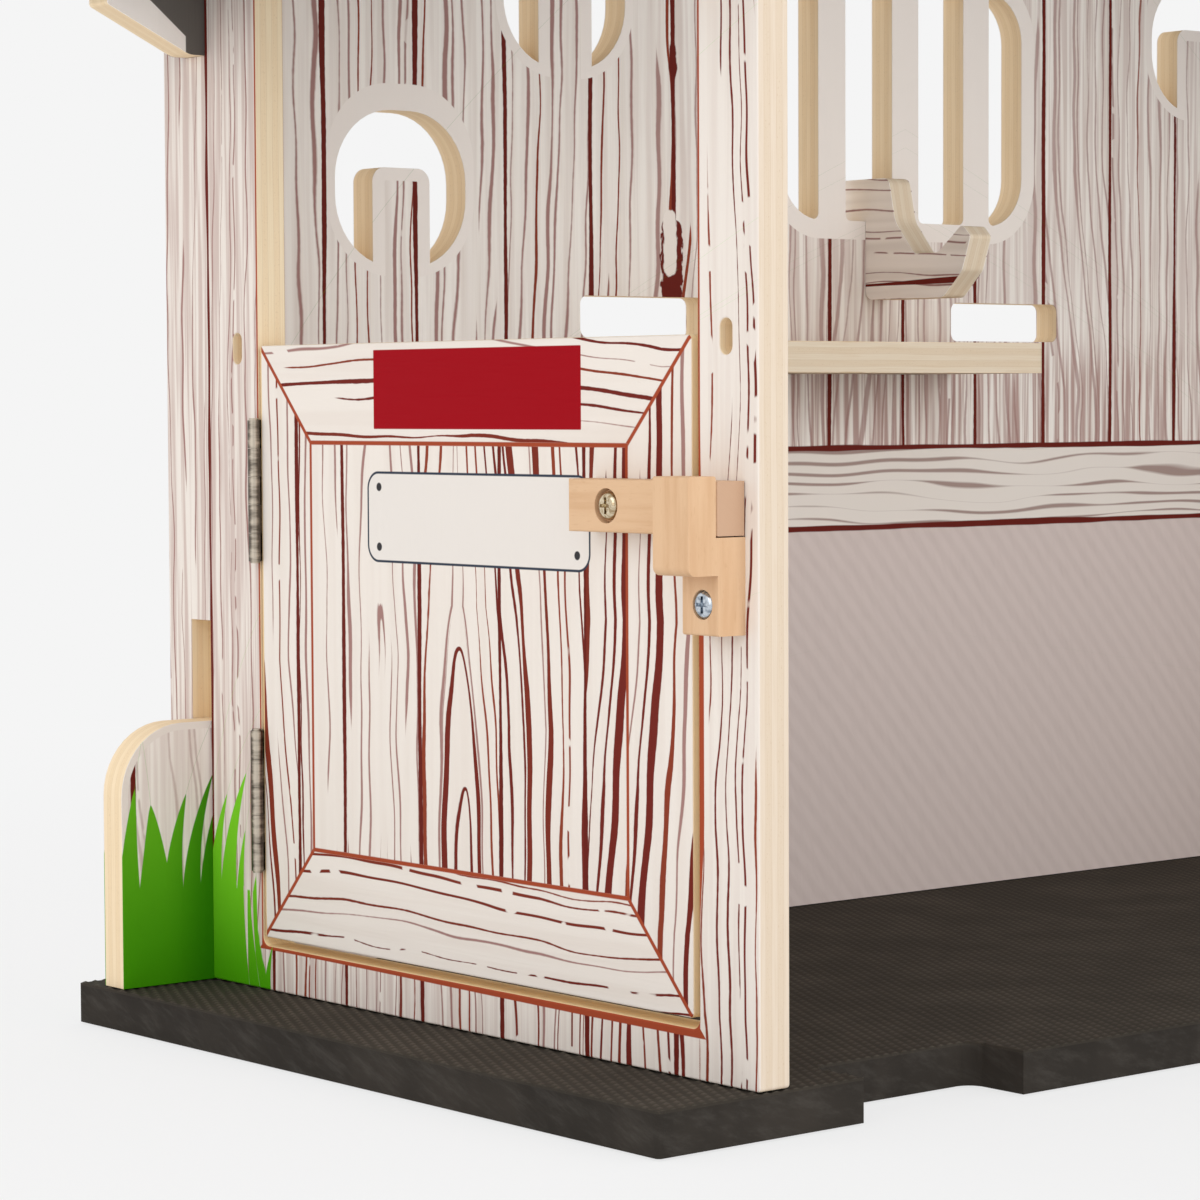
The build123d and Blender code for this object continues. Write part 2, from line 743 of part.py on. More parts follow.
# ---------------------------------------------------------------- build and export
def build():
    """Every sub-part of the barn, by node name."""
    parts = {
        "floor_mat": make_floor_mat(),
        "back_wall": make_back_wall(),
        "front_gable": make_front_gable(),
        "ridge_cap": make_ridge_cap(),
        "shelf": make_shelf(),
        "bridle_hook": make_bridle_hook(),
    }
    pairs = {
        "wall": make_left_wall(),
        "door": make_left_door(),
        "roof_board": make_left_roof(),
        "latch_bar": make_latch_bar(),
        "latch_keeper": make_latch_keeper(),
        "latch_pivot_screw": make_latch_pivot_screw(),
        "keeper_screw": make_keeper_screw(),
        "lower_hinge_wall_leaf": hinge_leaf(hinge_lower, 0),
        "lower_hinge_door_leaf": hinge_leaf(hinge_lower, 1),
        "lower_hinge_pin": hinge_pin(hinge_lower),
        "upper_hinge_wall_leaf": hinge_leaf(hinge_upper, 0),
        "upper_hinge_door_leaf": hinge_leaf(hinge_upper, 1),
        "upper_hinge_pin": hinge_pin(hinge_upper),
        "hinge_wall_screws": hinge_screws(0),
        "hinge_door_screws": hinge_screws(1),
    }
    for name, shape in pairs.items():
        parts["left_" + name] = shape
        parts["right_" + name] = mirrored(shape)
    return parts


os.makedirs("parts", exist_ok=True)
for node, shape in build().items():
    export_step(shape, os.path.join("parts", node + ".step"))
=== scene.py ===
import bpy
import math
from mathutils import Matrix, Vector


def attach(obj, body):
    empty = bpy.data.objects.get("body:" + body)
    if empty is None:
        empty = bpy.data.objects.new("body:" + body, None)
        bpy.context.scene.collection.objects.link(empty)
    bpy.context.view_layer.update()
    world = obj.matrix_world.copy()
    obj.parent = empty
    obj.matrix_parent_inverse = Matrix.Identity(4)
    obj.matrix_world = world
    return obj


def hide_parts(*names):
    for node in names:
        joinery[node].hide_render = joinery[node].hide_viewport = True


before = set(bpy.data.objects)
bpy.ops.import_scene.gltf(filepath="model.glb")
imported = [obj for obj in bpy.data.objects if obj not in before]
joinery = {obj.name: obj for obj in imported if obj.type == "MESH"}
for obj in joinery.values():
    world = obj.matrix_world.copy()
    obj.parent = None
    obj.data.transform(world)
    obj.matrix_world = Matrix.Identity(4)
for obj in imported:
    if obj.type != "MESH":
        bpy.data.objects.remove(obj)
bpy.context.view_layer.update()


# ---------------------------------------------------------------- viewpoint
# The viewer sits low in front of the left-hand end, level with the half door,
# and looks along the door towards the back wall.
eye = Vector((-0.79213, -0.70886, 0.16232))
sight = Vector((0.637893, 0.768256, -0.053617)).normalized()
tilt = math.radians(-0.266)
level_right = sight.cross(Vector((0, 0, 1))).normalized()
level_up = level_right.cross(sight)
right = level_right * math.cos(tilt) + level_up * math.sin(tilt)
up = level_up * math.cos(tilt) - level_right * math.sin(tilt)
lens = bpy.data.cameras.new("viewer")
lens.lens = 109.75
lens.sensor_width = 36.0
lens.clip_start = 0.01
lens.clip_end = 20.0
viewer = bpy.data.objects.new("viewer", lens)
bpy.context.collection.objects.link(viewer)
viewer.matrix_world = Matrix((
    (right.x, up.x, -sight.x, eye.x),
    (right.y, up.y, -sight.y, eye.y),
    (right.z, up.z, -sight.z, eye.z),
    (0, 0, 0, 1),
))
bpy.context.scene.camera = viewer


# ---------------------------------------------------------------- printed boards
# Every wall and door is a 9 mm sheet of birch ply, printed on both faces with brushed
# off-white boards and hand-drawn red-brown grain, then sawn to shape. Its cut edges
# are bare and show the plies.
mat_top = 10.7          # level of the mat's top, which all printing is measured from
face_depth = 4.25       # from a sheet's middle to just under its printed face
half_sheet = 4.5
ply_layer = 1.8         # one of the sheet's five plies


def paint(red, green, blue):
    """Colour of a paint or a wood, from its 0 to 255 shades."""
    shades = []
    for shade in (red, green, blue):
        s = shade / 255
        shades.append(s / 12.92 if s <= 0.04045 else ((s + 0.055) / 1.055) ** 2.4)
    return (shades[0], shades[1], shades[2], 1.0)


class Reading:
    """A value that varies over a board's face; sums on readings become nodes."""

    def __init__(self, sheet, socket):
        self.sheet = sheet
        self.socket = socket

    def work(self, operation, *others, clamp=False):
        step = self.sheet.nodes.new("ShaderNodeMath")
        step.operation = operation
        step.use_clamp = clamp
        for slot, value in zip(step.inputs, (self,) + others):
            if isinstance(value, Reading):
                self.sheet.links.new(value.socket, slot)
            else:
                slot.default_value = value
        return Reading(self.sheet, step.outputs[0])

    def __add__(self, other):
        return self.work("ADD", other)

    __radd__ = __add__

    def __mul__(self, other):
        return self.work("MULTIPLY", other)

    __rmul__ = __mul__

    def __sub__(self, other):
        return self.work("SUBTRACT", other)

    def __rsub__(self, other):
        return (self * -1.0) + other

    def __truediv__(self, other):
        return self.work("DIVIDE", other)

    def __abs__(self):
        return self.work("ABSOLUTE")

    def above(self, limit, soft=0.06):
        """1 where the reading is over the limit, with a narrow soft step."""
        return (self - limit).work("MULTIPLY_ADD", 0.5 / soft, 0.5, clamp=True)

    def below(self, limit, soft=0.06):
        """1 where the reading is under the limit."""
        return (self - limit).work("MULTIPLY_ADD", -0.5 / soft, 0.5, clamp=True)

    def rise(self, start, end, low=0.0, high=1.0):
        """Smooth change from low to high between two readings."""
        ramp = self.sheet.nodes.new("ShaderNodeMapRange")
        ramp.interpolation_type = "SMOOTHSTEP"
        for name, value in (("Value", self), ("From Min", start), ("From Max", end),
                            ("To Min", low), ("To Max", high)):
            if isinstance(value, Reading):
                self.sheet.links.new(value.socket, ramp.inputs[name])
            else:
                ramp.inputs[name].default_value = value
        return Reading(self.sheet, ramp.outputs["Result"])

    def chosen(self, otherwise, instead):
        """otherwise where the reading is 0, instead where it is 1."""
        return otherwise + self * (instead - otherwise)


def most(first, *others):
    """The largest of several readings."""
    for other in others:
        first = first.work("MAXIMUM", other)
    return first


def least(first, *others):
    """The smallest of several readings."""
    for other in others:
        first = first.work("MINIMUM", other)
    return first


def new_finish(name):
    """Empty material and its place on the board, in millimetres."""
    finish = bpy.data.materials.new(name)
    finish.use_nodes = True
    sheet = finish.node_tree
    place = sheet.nodes.new("ShaderNodeTexCoord")
    parts = sheet.nodes.new("ShaderNodeSeparateXYZ")
    sheet.links.new(place.outputs["Object"], parts.inputs[0])
    readings = [Reading(sheet, parts.outputs[i]) * 1000.0 for i in range(3)]
    return finish, readings


def pair(across, along):
    """Two readings as one vector for a texture."""
    joined = across.sheet.nodes.new("ShaderNodeCombineXYZ")
    across.sheet.links.new(across.socket, joined.inputs[0])
    across.sheet.links.new(along.socket, joined.inputs[1])
    return joined.outputs[0]


def mottle(across, along, detail=1.0, rough=0.5):
    """Soft random variation from 0 to 1 over a face."""
    cloud = across.sheet.nodes.new("ShaderNodeTexNoise")
    cloud.noise_dimensions = "2D"
    cloud.inputs["Scale"].default_value = 1.0
    cloud.inputs["Detail"].default_value = detail
    cloud.inputs["Roughness"].default_value = rough
    across.sheet.links.new(pair(across, along), cloud.inputs["Vector"])
    return Reading(across.sheet, cloud.outputs["Fac"])


def lots(number):
    """Three random values for each whole number."""
    draw = number.sheet.nodes.new("ShaderNodeTexWhiteNoise")
    draw.noise_dimensions = "1D"
    number.sheet.links.new(number.socket, draw.inputs["W"])
    parts = number.sheet.nodes.new("ShaderNodeSeparateColor")
    number.sheet.links.new(draw.outputs["Color"], parts.inputs[0])
    return [Reading(number.sheet, parts.outputs[i]) for i in range(3)]


def coat(sheet, under, colour, share):
    """A colour laid over another where share is 1."""
    layer = sheet.nodes.new("ShaderNodeMix")
    layer.data_type = "RGBA"
    layer.clamp_factor = True
    sheet.links.new(share.socket, layer.inputs["Factor"])
    for slot, value in ((layer.inputs["A"], under), (layer.inputs["B"], colour)):
        if isinstance(value, tuple):
            slot.default_value = value
        else:
            sheet.links.new(value, slot)
    return layer.outputs["Result"]


def corner_box(u, v, middle_u, middle_v, half_u, half_v, corner):
    """Distance outside a round-cornered rectangle; below 0 inside it."""
    over_u = abs(u - middle_u) - (half_u - corner)
    over_v = abs(v - middle_v) - (half_v - corner)
    out_u = over_u.work("MAXIMUM", 0.0)
    out_v = over_v.work("MAXIMUM", 0.0)
    outside = (out_u * out_u + out_v * out_v).work("SQRT")
    inside = over_u.work("MAXIMUM", over_v).work("MINIMUM", 0.0)
    return outside + inside - corner


arch_run = 70.0         # how far below its tip an arched figure widens


def draw_grain(across, along, plank, pitch, seed, pale=0.3, broken=0.14, knots=1.0,
               bold=1.0, leaf=8.0, arch=None, soft=0.7, seams=1.0):
    """Hand-drawn grain on planks: dark lines, pale lines, plank joints and a hue.

    pitch is the spacing of the lines, pale the share of pale ones, broken the share
    of dashed ones, bold the dark ones' weight, soft the pale ones' and seams the
    joints'. knots is 1 where arched figure may show, leaf is its half width, and
    arch sets it on one plank: which, how far to its side, and the level of its tip.
    """
    sheet = across.sheet
    # each plank draws its own lots: where its figure leans, its tip, and its kind
    cell = (across / plank).work("FLOOR")
    offset = across - (cell + 0.5) * plank
    side, start, kind = lots(cell + seed * 17.0)
    top = start * 260.0 + 30.0
    whole = 0.0
    if arch is not None:
        here = abs(cell - arch[0]).below(0.5)
        whole = here
        kind = here.chosen(kind, 1.0)
        side = here.chosen(side, arch[1])
        top = here.chosen(top, arch[2])
    # lines run straight, or bend round an arch that narrows to its tip
    drift = (mottle(across * 0.030 + seed, along * 0.010, 0.0) - 0.5) * 7.0
    kink = (mottle(across * 0.12, along * 0.050 + seed * 3.0, 0.0) - 0.5) * 1.8
    fall = ((top - along) / arch_run).work("ADD", 0.0, clamp=True)
    x = offset + drift + kink - (side - 0.5) * (plank * 0.35 - fall * 18.0)
    skew = x - abs(x) * 0.22
    field = skew * skew - fall * (2.0 - fall) * (leaf * leaf)
    blunt = (top - along).rise(-45.0, 0.0, 0.4, leaf)
    root = (field.work("MAXIMUM", 0.0) + blunt * blunt).work("SQRT")
    inner = field.below(0.0, 0.01)
    bent = root - blunt + field.work("MINIMUM", 0.0) / (0.85 * leaf)
    climb = (1.0 - fall) * fall.above(0.001, 0.001) * (leaf * leaf * 2.0 / arch_run)
    steep = (skew * skew * 4.0 + climb * climb).work("SQRT")
    steep = steep / inner.chosen(root * 2.0, 0.85 * leaf)
    arched = kind.above(0.58, 0.01) * knots
    place = arched.chosen(x, bent)
    steep = arched.chosen(1.0, steep.work("MAXIMUM", 0.12))
    # one line in each cell, off is the distance from its middle
    rings = sheet.nodes.new("ShaderNodeTexVoronoi")
    rings.voronoi_dimensions = "1D"
    rings.inputs["Scale"].default_value = 1.0
    rings.inputs["Randomness"].default_value = 0.70
    sheet.links.new(((place + cell * 37.0 + seed) / pitch).socket, rings.inputs["W"])
    off = Reading(sheet, rings.outputs["Distance"]) * pitch / steep
    parts = sheet.nodes.new("ShaderNodeSeparateColor")
    sheet.links.new(rings.outputs["Color"], parts.inputs[0])
    weight, hue, dashes = [Reading(sheet, parts.outputs[i]) for i in range(3)]
    # the pen's pressure, line ends, ragged sides and dashes
    press = mottle(weight * 40.0 + cell, along * 0.014 + seed, 0.5)
    press = press.rise(0.30, 0.60, 0.50, 1.25)
    ends = mottle(weight * 13.0 + cell, along * 0.009 + hue * 9.0, 0.0)
    ends = ends.rise(0.54, 0.62) * dashes.below(0.28, 0.01)
    ragged = (mottle(across * 0.6, along * 0.45 + seed, 1.0) - 0.5) * 0.14
    stroke = (weight * weight * 0.78 * bold + 0.22 + 0.08 * bold) * press + ragged - ends
    dry = mottle(dashes * 50.0 + across * 0.1, along * 0.10 + weight * 30.0, 1.0)
    dry = dry.rise(0.37, 0.41)
    dashed = dashes.above(1.0 - broken, 0.01) * (1.0 - whole)
    inked = dashed.chosen(1.0, dry)
    stroke = dashed.chosen(stroke, stroke.work("MINIMUM", 0.36))
    grey = hue.below(pale, 0.01)
    faint = (stroke * soft - off).above(0.0, soft * 0.17) * inked * grey
    dark = (stroke - off).above(0.0, 0.09) * inked * (1.0 - grey)
    # the joint to the next plank
    edge = plank * 0.5 - abs(offset)
    joint_press = mottle(cell * 9.7 + seed, along * 0.016, 1.0)
    joint_press = joint_press.rise(0.3, 0.7, 0.42, 0.92) * seams
    joint = (joint_press + ragged * 1.6 - edge).above(0.0, 0.1)
    return dark, faint, joint, hue


cream = paint(236, 227, 218)
cream_shade = paint(229, 218, 208)
grain_red = paint(112, 36, 28)
grain_brown = paint(142, 62, 40)
grain_grey = paint(163, 124, 118)
wash_mauve = paint(188, 160, 152)
joint_red = paint(104, 32, 24)
frame_red = paint(164, 72, 44)


def print_planks(across, along, lines, wash=0.0, board=cream):
    """Off-white ground with its grain lines, as one colour."""
    sheet = across.sheet
    dark, faint, joint, hue = lines
    streak = mottle(across * 0.25, along * 0.010, 2.0)
    ground = coat(sheet, board, cream_shade, streak.rise(0.35, 0.75) * 0.6)
    brushed = mottle(across * 0.50, along * 0.012 + 4.0, 2.0, 0.6)
    ground = coat(sheet, ground, wash_mauve, brushed.rise(0.36, 0.64) * wash)
    ground = coat(sheet, ground, grain_grey, faint)
    ink = coat(sheet, grain_red, grain_brown, hue.rise(0.35, 1.0))
    ground = coat(sheet, ground, ink, dark)
    return coat(sheet, ground, joint_red, joint)


ply_light = paint(232, 216, 193)
ply_dark = paint(220, 196, 164)
ply_glue = paint(196, 166, 130)


def cut_edge(depth, along, across, light=ply_light, dark=ply_dark):
    """Sawn edge of the sheet; depth is counted from the sheet's middle."""
    sheet = depth.sheet
    sheet_wave = (mottle(along * 0.02, across * 0.02) - 0.5) * 0.35
    ply = (depth + sheet_wave + half_sheet) / ply_layer
    turn = (ply * 0.5).work("FRACT")
    fibre = mottle(along * 1.4, depth * 3.0, 2.0)
    streaks = mottle(along * 0.05, depth * 2.4, 3.0, 0.6)
    wood = coat(sheet, light, dark, turn.above(0.5, 0.06) * 0.40)
    wood = coat(sheet, wood, dark, streaks.rise(0.40, 0.75) * 0.45)
    wood = coat(sheet, wood, ply_glue, fibre.rise(0.62, 0.8) * turn.above(0.5, 0.06) * 0.4)
    glue = abs(ply.work("FRACT") - 0.5).above(0.46, 0.02)
    return coat(sheet, wood, ply_glue, glue * 0.25)


def finish_board(finish, colour, roughness, grain=None):
    """Joins a colour, a sheen and a faint raised grain to the board's surface."""
    sheet = finish.node_tree
    surface = sheet.nodes["Principled BSDF"]
    sheet.links.new(colour, surface.inputs["Base Color"])
    sheet.links.new(roughness.socket, surface.inputs["Roughness"])
    if grain is not None:
        relief = sheet.nodes.new("ShaderNodeBump")
        relief.inputs["Strength"].default_value = 0.35
        relief.inputs["Distance"].default_value = 0.0001
        sheet.links.new(grain.socket, relief.inputs["Height"])
        sheet.links.new(relief.outputs["Normal"], surface.inputs["Normal"])
    surface.inputs["Specular IOR Level"].default_value = 0.07


def dress(node_name, finish):
    """Gives a CAD node its material."""
    piece = joinery[node_name]
    piece.data.materials.clear()
    piece.data.materials.append(finish)


def face_share(depth):
    """1 on a sheet's two faces, 0 on its sawn edges."""
    return abs(depth).above(face_depth, 0.08)


def board_finish(finish, printed, edge, on_face, across, along):
    """Printed on the faces, bare on the cut edges."""
    sheet = finish.node_tree
    colour = coat(sheet, edge, printed, on_face)
    pores = mottle(across * 1.6, along * 0.05, 2.0)
    sheen = on_face.chosen(0.66 + pores * 0.1, 0.50 + pores * 0.1)
    finish_board(finish, colour, sheen, pores)


# ---------------------------------------------------------------- end walls
# Each end wall is one sheet of printed ply with a doorway sawn out of it, slotted
# over the back wall and the front gable. A red line is printed beside and under the
# doorway, grass at the foot of the rear post. Its cut edges are painted lighter and
# more golden than plain ply as painted light for the shade they sit in, the sill's
# top edge gets a brighter painted highlight, and the edges at the front end, where
# the light falls fully, get painted shade.
end_middle = 251.5      # middle of the end walls' sheet, out from the barn's middle
doorway_middle = -11.3
doorway_half = 86.0
sill_level = 11.4
side_line_top = 268.0
wall_plank = 31.8
rear_line_place = 96.6  # the one plank joint on the rear strip
front_post = -97.2      # the post in front of the doorway ends here
# cut edges in front of this get painted shade
shaded_front_limit = -117.0
tuft_level = 25.2       # where the blades part
tuft_front = 71.6

# tip across, tip level, root across, root level, half width
post_blades = (
    (98.0, 47.0, 100.4, 24.6, 2.8),
    (90.6, 49.7, 96.4, 24.6, 3.0),
    (81.6, 55.9, 90.2, 24.6, 3.7),
    (82.3, 40.8, 84.9, 21.5, 1.9),
    (77.6, 29.2, 79.6, 2.0, 3.4),
    (70.4, 11.5, 72.8, -1.0, 1.6),
)
post_gaps = (
    (81.4, 3.0, 82.5, 26.0, 0.9),
    (78.2, 9.0, 79.8, 27.0, 0.7),
)


def blade(u, z, tip_u, tip_z, root_u, root_z, half):
    """One printed blade that bends from its root over to its tip."""
    up = (z - root_z) / (tip_z - root_z)
    left = (1.0 - up).work("MAXIMUM", 0.0)
    off = abs(u - root_u - up * up * (tip_u - root_u))
    return (left.work("POWER", 0.75) * half - off).above(0.0, 0.1) * up.above(0.0, 0.01)


grass_green = paint(120, 202, 38)
grass_deep = paint(72, 156, 6)


def wall_finish(name, side):
    """Finish of one end wall; side is -1 for the left one and 1 for the right."""
    finish, (x, y, z) = new_finish(name)
    sheet = finish.node_tree
    z = z - mat_top
    depth = x - side * end_middle
    on_face = face_share(depth)
    beside = abs(y - doorway_middle) - doorway_half
    under = sill_level - z
    dark, faint, joint, hue = draw_grain(
        y + 57.7, z, wall_plank, pitch=y.below(front_post).chosen(4.1, 3.1), seed=6.0 + side,
        pale=most(y.rise(-90.0, 70.0, 0.05, 0.75), y.rise(92.0, 97.0, 0.0, 0.97)),
        broken=0.25, knots=z.below(sill_level) * beside.below(0.0),
        bold=least(y.rise(-98.0, -94.0, 0.30, 0.65), y.rise(-90.0, 70.0, 0.65, 0.40)),
        leaf=4.0)
    lines = (dark, faint, joint * y.below(99.0), hue)
    printed = print_planks(y, z, lines, y.rise(-90.0, 70.0, 0.10, 0.60))
    rear_line = abs(y - rear_line_place - mottle(z * 0.02, y * 0.01) * 1.2)
    rear_line = rear_line - mottle(z * 0.03, y * 0.01, 1.0) * 0.9
    printed = coat(sheet, printed, joint_red, rear_line.below(0.1, 0.1))
    sill_line = under.above(-1.0) * under.below(y.rise(70.0, -90.0, 0.9, 1.9), 0.1)
    sill_line = sill_line * beside.below(0.6 + under * 0.9, 0.1)
    wide = z.rise(30.0, 60.0, 0.3, 1.9) - z.rise(100.0, 150.0, 0.0, 1.0)
    clear_strip = beside.below(3.6, 0.2) * z.above(60.0, 8.0) * y.below(-90.0)
    printed = coat(sheet, printed, cream, clear_strip)
    side_line = under.below(0.5) * beside.below(y.rise(-50.0, 50.0, wide, 0.4), 0.1)
    side_line = side_line * z.below(side_line_top)
    printed = coat(sheet, printed, frame_red, most(sill_line, side_line))
    tuft_end = tuft_front + z.work("MAXIMUM", 0.0) * 0.20 + mottle(z * 0.16, y * 0.02, 1.0) * 3.0
    grown = z.below(tuft_level, 0.2) * y.above(tuft_end, 0.3)
    for measures in post_blades:
        grown = most(grown, blade(y, z, *measures))
    for measures in post_gaps:
        grown = grown * (1.0 - blade(y, z, *measures))
    green = coat(sheet, grass_deep, grass_green, z.rise(-6.0, 40.0))
    printed = coat(sheet, printed, green, grown)
    # Painted light on the cut edges: painted shade on the front end's edges, a painted highlight
    # on the sill's top edge, and all other edges painted lighter and golden.
    shaded_front_end = y.below(shaded_front_limit, 0.4)
    sill = under.above(-4.0) * beside.below(0.0)
    light = coat(sheet, paint(245, 226, 194), paint(226, 210, 191), shaded_front_end)
    light = coat(sheet, light, paint(252, 228, 182), sill)
    dark = coat(sheet, paint(235, 208, 170), paint(216, 196, 170), shaded_front_end)
    dark = coat(sheet, dark, paint(244, 211, 158), sill)
    edge = cut_edge(depth, z + y, y, light, dark)
    board_finish(finish, printed, edge, on_face, y, z)
    return finish


dress("left_wall", wall_finish("printed_left_wall", -1.0))
dress("right_wall", wall_finish("printed_right_wall", 1.0))


# ---------------------------------------------------------------- half doors
# Each half door is one sheet of printed ply that closes flush in its doorway. The
# print shows a mitred frame round planks, with a bare red plate on the top rail and
# a blank name plate held by four nails, both on the outer face only.
wall_front = -117.5     # front end of the end walls; the door's print counts from it
door_middle = (106.75, 90.3)
door_half = (84.45, 76.6)
stile_width = 22.4
rail_width = 24.8
frame_width = 23.5      # stiles and rails on average, which their lines are drawn by
bare_strip = 83.6       # from the door's middle to its bare edge at the hinges
arched_from = 91.6      # planks from here to the hinges may have arched figure
red_plate_place = (101.3, 155.35, 40.4, 9.75, 0.3)     # middle, half sizes, corner
name_plate_place = (101.1, 123.9, 43.2, 11.0, 4.2)
nail_reach = (38.6, 7.4)
nail_radius = 1.05
plate_red = paint(157, 0, 18)
name_plate = paint(231, 224, 217)
plate_line = paint(52, 60, 74)
nail_dark = paint(58, 56, 58)


def door_finish(name, side):
    """Finish of one half door."""
    finish, (x, y, z) = new_finish(name)
    sheet = finish.node_tree
    y = y - wall_front
    z = z - mat_top
    depth = x - side * end_middle
    on_face = face_share(depth)
    outer_face = x.work("MULTIPLY", side).above(end_middle, 0.5)
    off_y = abs(y - door_middle[0])
    off_z = abs(z - door_middle[1])
    stile = (door_half[0] - off_y) / stile_width
    rail = (door_half[1] - off_z) / rail_width
    in_frame = least(stile, rail).below(1.0, 0.02)
    on_rail = rail.work("LESS_THAN", stile) * in_frame
    upper = z.work("GREATER_THAN", door_middle[1])
    plank = on_rail.chosen(wall_plank, 60.0)
    across = on_rail.chosen(y + 3.8 + in_frame * 12.0, 94.2 - off_z + upper * 60.0)
    along = on_rail.chosen(z, y)
    lines = draw_grain(
        across, along, plank, pitch=4.4, seed=5.0 + side,
        pale=in_frame.chosen(y.rise(118.0, 128.0, 0.06, 0.85), 0.25),
        broken=on_rail.chosen(0.10, 0.28), knots=(1.0 - in_frame) * y.above(arched_from, 0.1),
        bold=on_rail.chosen(1.4, 0.35), arch=(3.0, 0.62, 103.0))
    printed = print_planks(across, along, lines)
    inner = abs(least(stile, rail) - 1.0) * frame_width
    mitre = abs(stile - rail) * 16.0 + (1.0 - in_frame) * 50.0
    outline = least(inner, mitre).below(0.50, 0.12)
    printed = coat(sheet, printed, frame_red, outline)
    hinge_line = (bare_strip - (y - door_middle[0])).below(0.0, 0.1)
    printed = coat(sheet, printed, paint(224, 192, 144), hinge_line)
    red_plate = corner_box(y, z, *red_plate_place).below(0.0, 0.1)
    printed = coat(sheet, printed, plate_red, red_plate * outer_face)
    name_edge = corner_box(y, z, *name_plate_place)
    printed = coat(sheet, printed, plate_line, name_edge.below(0.25, 0.1) * outer_face)
    printed = coat(sheet, printed, name_plate, name_edge.below(-0.35, 0.1) * outer_face)
    nail_y = abs(y - name_plate_place[0]) - nail_reach[0]
    nail_z = abs(z - name_plate_place[1]) - nail_reach[1]
    nail = (nail_y.work("POWER", 2.0) + nail_z.work("POWER", 2.0)).work("SQRT")
    printed = coat(sheet, printed, nail_dark, nail.below(nail_radius, 0.12) * outer_face)
    # The door's cut edges are painted lighter and golden, painted light for the shade in the
    # narrow gap round the door.
    edge = cut_edge(depth, z + y, y, paint(246, 223, 184), paint(236, 206, 160))
    board_finish(finish, printed, edge, on_face, across, along)
    return finish


dress("left_door", door_finish("printed_left_door", -1.0))
dress("right_door", door_finish("printed_right_door", 1.0))


# ---------------------------------------------------------------- back wall
# One sheet of printed ply with horseshoes, a barred window and two slots sawn out of
# it. Inside, the print shows planks over a rail and a plain kicking board. Its feet
# and eave ends pass through slots in the end walls and carry grass and slates.
back_middle = 102.2     # middle of the sheet, back from the end walls' middle
half_length = 256.0     # to the end walls' outer faces
half_inside = 247.0
rail_low = 113.6
rail_high = 137.8
back_plank = 31.07
wave_step = 3.9         # between the rail's wavy lines
weave_step = 6.9        # between the kicking board's slanting lines
seam = -94.1            # the plank joint with the two dark blotches
burn_place = (-94.8, 193.0, 4.0, 12.5, 3.8)            # middle, half sizes, corner
hollow_place = (-95.4, 198.0, 2.5, 9.5, 2.4)
foot_place = (200.0, 34.25, 84.0, 34.25, 18.5)
window_place = (0.0, 242.75, 51.2, 36.25, 15.0)
window_margin = 5.6
horseshoes = ((192.3, 189.2), (134.2, 246.2))          # middle, lower end
kick_grey = paint(217, 202, 196)
kick_line = paint(205, 189, 183)

# tip out, tip level, root out, root level, half width
foot_blades = (
    (-12.5, 30.0, -6.0, 20.0, 3.2),
    (-5.0, 44.0, -1.5, 22.0, 2.4),
    (-1.2, 46.0, 1.6, 24.0, 2.5),
    (-0.3, 54.4, 6.6, 24.0, 2.9),
    (8.2, 49.7, 12.4, 24.0, 3.2),
    (19.2, 47.5, 18.0, 24.0, 5.2),
    (24.0, 52.0, 26.0, 24.0, 3.4),
)


def plain_round(u, v):
    """1 on the plain margins round the window and the horseshoes."""
    plain = corner_box(u, v, *window_place).below(window_margin, 0.1)
    away = abs(u)
    for middle, low in horseshoes:
        around = corner_box(away, v, middle, low + 23.5, 25.0, 26.2, 21.0).below(0.0, 0.1)
        tongue = corner_box(away, v, middle, low - 6.0, 5.6, 29.4, 0.5).above(0.0, 0.1)
        plain = most(plain, around * tongue)
    return plain


def gable_edges(finish, x, z, printed):
    """Grass and dark eave ends printed where the board runs past the end walls, the grass with
    painted shade towards the corner and the eave end's cream with painted light.
    """
    sheet = finish.node_tree
    out = abs(x) - half_length
    grown = z.below(24.6, 0.2) * out.above(-14.0 + z * 0.3, 0.3)
    for measures in foot_blades:
        grown = most(grown, blade(out, z, *measures))
    green = coat(sheet, grass_deep, grass_green, z.rise(-6.0, 70.0))
    # The grass darkens towards the corner with the end wall: painted shade.
    green = coat(sheet, green, paint(40, 116, 0), out.rise(16.0, 0.0, 0.25, 0.8))
    printed = coat(sheet, printed, green, grown)
    # The eave end is printed plain cream, painted lighter than the boards' cream as painted light
    # under the roof's overhang; slates are printed over its top.
    eave = z.above(236.0) * out.above(-0.5)
    printed = coat(sheet, printed, paint(254, 247, 240), eave)
    rake = z - 243.0 - out * 0.80
    slate_part = most(rake.above(0.0, 0.15), out.below(5.8, 0.1)) * z.above(240.0) * eave
    return coat(sheet, printed, paint(104, 99, 94), slate_part)


